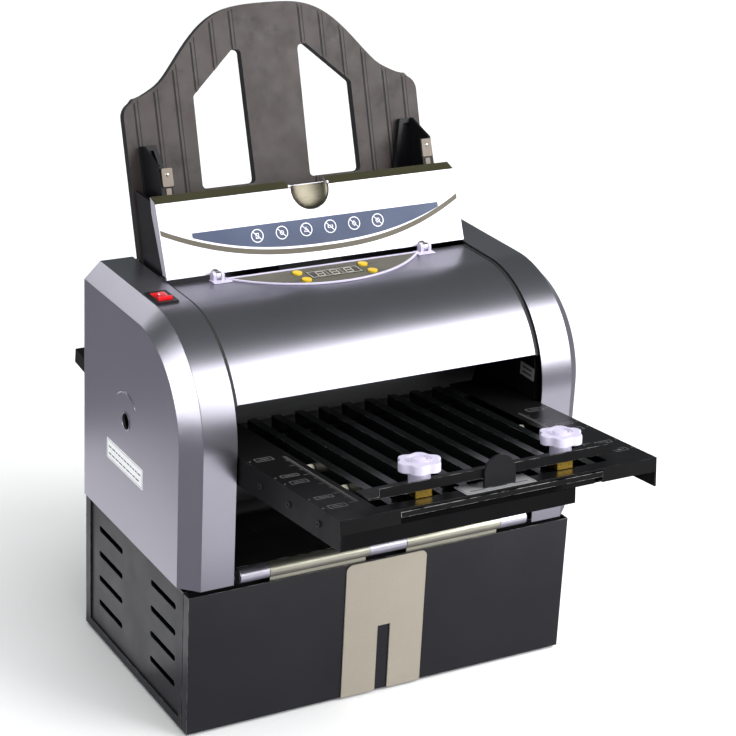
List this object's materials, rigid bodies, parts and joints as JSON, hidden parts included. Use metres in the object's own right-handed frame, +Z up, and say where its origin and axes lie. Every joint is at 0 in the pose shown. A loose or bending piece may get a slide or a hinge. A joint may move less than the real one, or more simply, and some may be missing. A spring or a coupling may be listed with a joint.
{
  "type": "paper folding machine",
  "caption": "Desktop paper folding machine with a top hopper, four folding rollers, two slide-out fold plates, a control panel and a hinged exit tray.",
  "frame": {"origin": "centre of the footprint on the surface that the machine stands on", "axes": "+X right seen from the front, +Y to the rear, +Z up"},
  "size_m": [0.39, 0.528, 0.5654],
  "materials": {
    "base_black": "satin",
    "tray_black": "satin",
    "deck_black": "gloss",
    "cover_silver": "satin metallic",
    "hopper_silver": "gloss",
    "tray_brown": "fine texture",
    "black_plastic": "satin",
    "plate_black": "satin",
    "rail_black": "gloss",
    "white_plastic": "satin",
    "panel_grey": "satin",
    "display_dark": "gloss",
    "button_yellow": "gloss",
    "rocker_red": "gloss",
    "rubber": "matte",
    "roller_rubber": "matte",
    "steel": "brushed",
    "zinc": "zinc plated",
    "bright_steel": "bright",
    "strip_steel": "fine brushed",
    "brass": "machined",
    "bronze": "sintered",
    "gear_steel": "machined",
    "gear_nylon": "matte",
    "board_green": "satin",
    "motor_grey": "satin",
    "pad_cork": "matte"
  },
  "bodies": {
    "body": {"base_pan": "base_black", "side_panels": "base_black", "base_deck": "deck_black", "rubber_feet": "rubber", "power_inlet": "black_plastic", "power_supply": "board_green", "drive_motor": "motor_grey", "drive_belts": "rubber", "left_frame": "plate_black", "right_frame": "plate_black", "tie_rods": "bright_steel", "roller_bearings": "bronze", "separator_pad": "pad_cork", "feed_chute": "plate_black", "left_side_cover": "cover_silver", "right_side_cover": "cover_silver", "top_cover": "cover_silver", "rear_covers": "cover_silver", "hopper_cheeks": "black_plastic", "feed_tray": "tray_brown", "panel_bezel": "white_plastic", "panel_plate": "panel_grey", "display_window": "display_dark", "switch_bezel": "black_plastic", "fixed_knuckles": "bright_steel", "hinge_pin": "steel"},
    "roller_1": {"fold_roller_1": "roller_rubber", "roller_gear_1": "gear_steel"},
    "roller_2": {"fold_roller_2": "roller_rubber", "roller_gear_2": "gear_nylon"},
    "roller_3": {"fold_roller_3": "roller_rubber", "roller_gear_3": "gear_steel"},
    "roller_4": {"fold_roller_4": "roller_rubber", "roller_gear_4": "gear_nylon"},
    "feeder": {"feed_roller": "roller_rubber"},
    "motor_shaft": {"motor_pulley": "steel"},
    "guide_l": {"guide_left": "black_plastic"},
    "guide_r": {"guide_right": "black_plastic"},
    "pinion": {"guide_pinion": "gear_nylon"},
    "hopper_cover": {"feed_cover": "hopper_silver"},
    "button_1": {"panel_button_1": "button_yellow"},
    "button_2": {"panel_button_2": "button_yellow"},
    "button_3": {"panel_button_3": "button_yellow"},
    "button_4": {"panel_button_4": "button_yellow"},
    "rocker": {"power_rocker": "rocker_red"},
    "plate_1": {"plate_1_channel": "plate_black", "plate_1_ribs": "rail_black", "plate_1_bed": "plate_black"},
    "stop_1": {"stop_1_bar": "plate_black", "stop_1_tab": "black_plastic", "stop_1_nuts": "brass"},
    "clamp_1_left": {"knob_1_left": "white_plastic"},
    "clamp_1_right": {"knob_1_right": "white_plastic"},
    "plate_2": {"plate_2_channel": "plate_black"},
    "stop_2": {"stop_2_bar": "plate_black"},
    "clamp_2_left": {"knob_2_left": "white_plastic"},
    "clamp_2_right": {"knob_2_right": "white_plastic"},
    "tray": {"exit_tray": "tray_black", "tray_knuckles": "zinc"},
    "paper_stop_strip": {"paper_stop": "strip_steel"}
  },
  "joints": [
    {"name": "roller_3_spin", "type": "hinge", "parent": "body", "child": "roller_3", "pos_m": [0, 0.0103, 0.1712], "axis": [1, 0, 0], "continuous": true},
    {"name": "roller_1_spin", "type": "hinge", "parent": "body", "child": "roller_1", "pos_m": [0, 0.0103, 0.248], "axis": [1, 0, 0], "continuous": true},
    {"name": "roller_2_spin", "type": "hinge", "parent": "body", "child": "roller_2", "pos_m": [0, 0.0103, 0.2096], "axis": [1, 0, 0], "continuous": true},
    {"name": "roller_4_spin", "type": "hinge", "parent": "body", "child": "roller_4", "pos_m": [0, 0.0103, 0.1328], "axis": [1, 0, 0], "continuous": true},
    {"name": "feeder_spin", "type": "hinge", "parent": "body", "child": "feeder", "pos_m": [0, 0.062, 0.334], "axis": [1, 0, 0], "continuous": true},
    {"name": "motor_spin", "type": "hinge", "parent": "body", "child": "motor_shaft", "pos_m": [0.15, 0.062, 0.072], "axis": [1, 0, 0], "continuous": true},
    {"name": "guide_left_slide", "type": "slide", "parent": "body", "child": "guide_l", "axis": [1, 0, 0], "range_m": [0, 0.04]},
    {"name": "guide_right_slide", "type": "slide", "parent": "body", "child": "guide_r", "axis": [1, 0, 0], "range_m": [-0.04, 0]},
    {"name": "pinion_turn", "type": "hinge", "parent": "body", "child": "pinion", "pos_m": [0, 0.09866, 0.38832], "axis": [0, 0.9511, -0.309], "range_deg": [-235, 235]},
    {"name": "hopper_cover_hinge", "type": "hinge", "parent": "body", "child": "hopper_cover", "pos_m": [0, 0.026, 0.3632], "axis": [1, 0, 0], "range_deg": [0, 70]},
    {"name": "button_1_press", "type": "slide", "parent": "body", "child": "button_1", "axis": [0, 0, -1], "range_m": [0, 0.0008], "stiffness_N_per_m": 900, "springref_m": -0.0005},
    {"name": "button_2_press", "type": "slide", "parent": "body", "child": "button_2", "axis": [0, 0, -1], "range_m": [0, 0.0008], "stiffness_N_per_m": 900, "springref_m": -0.0005},
    {"name": "button_3_press", "type": "slide", "parent": "body", "child": "button_3", "axis": [0, 0, -1], "range_m": [0, 0.0008], "stiffness_N_per_m": 900, "springref_m": -0.0005},
    {"name": "button_4_press", "type": "slide", "parent": "body", "child": "button_4", "axis": [0, 0, -1], "range_m": [0, 0.0008], "stiffness_N_per_m": 900, "springref_m": -0.0005},
    {"name": "power_rocker_tilt", "type": "hinge", "parent": "body", "child": "rocker", "pos_m": [-0.169, -0.0025, 0.36], "axis": [1, 0, 0], "range_deg": [0, 18]},
    {"name": "plate_1_slide", "type": "slide", "parent": "body", "child": "plate_1", "axis": [0, -0.9939, 0.1106], "range_m": [0, 0.12]},
    {"name": "stop_1_slide", "type": "slide", "parent": "plate_1", "child": "stop_1", "axis": [0, -0.9939, 0.1106], "range_m": [-0.13, 0.004]},
    {"name": "knob_1_left_turn", "type": "hinge", "parent": "stop_1", "child": "clamp_1_left", "pos_m": [-0.066, -0.26304, 0.28322], "axis": [0, 0.1106, 0.9939], "continuous": true},
    {"name": "knob_1_right_turn", "type": "hinge", "parent": "stop_1", "child": "clamp_1_right", "pos_m": [0.066, -0.26304, 0.28322], "axis": [0, 0.1106, 0.9939], "continuous": true},
    {"name": "plate_2_slide", "type": "slide", "parent": "body", "child": "plate_2", "axis": [0, 0.9945, 0.1045], "range_m": [0, 0.1]},
    {"name": "stop_2_slide", "type": "slide", "parent": "plate_2", "child": "stop_2", "axis": [0, 0.9945, 0.1045], "range_m": [-0.045, 0.04]},
    {"name": "knob_2_left_turn", "type": "hinge", "parent": "stop_2", "child": "clamp_2_left", "pos_m": [-0.066, 0.17325, 0.22508], "axis": [0, -0.1045, 0.9945], "continuous": true},
    {"name": "knob_2_right_turn", "type": "hinge", "parent": "stop_2", "child": "clamp_2_right", "pos_m": [0.066, 0.17325, 0.22508], "axis": [0, -0.1045, 0.9945], "continuous": true},
    {"name": "exit_tray_hinge", "type": "hinge", "parent": "body", "child": "tray", "pos_m": [0, -0.107, 0.144], "axis": [-1, 0, 0], "range_deg": [0, 92]},
    {"name": "paper_stop_slide", "type": "slide", "parent": "tray", "child": "paper_stop_strip", "axis": [0, 0, -1], "range_m": [0, 0.04]}
  ],
  "couplings": [
    {"joint": "roller_1_spin", "follows": "roller_3_spin", "ratio": 1},
    {"joint": "roller_2_spin", "follows": "roller_3_spin", "ratio": -1},
    {"joint": "roller_4_spin", "follows": "roller_3_spin", "ratio": -1},
    {"joint": "feeder_spin", "follows": "roller_3_spin", "ratio": 0.75},
    {"joint": "motor_spin", "follows": "roller_3_spin", "ratio": 2.3333},
    {"joint": "guide_right_slide", "follows": "guide_left_slide", "ratio": -1},
    {"joint": "pinion_turn", "follows": "guide_left_slide", "rad_per_m": 100}
  ]
}
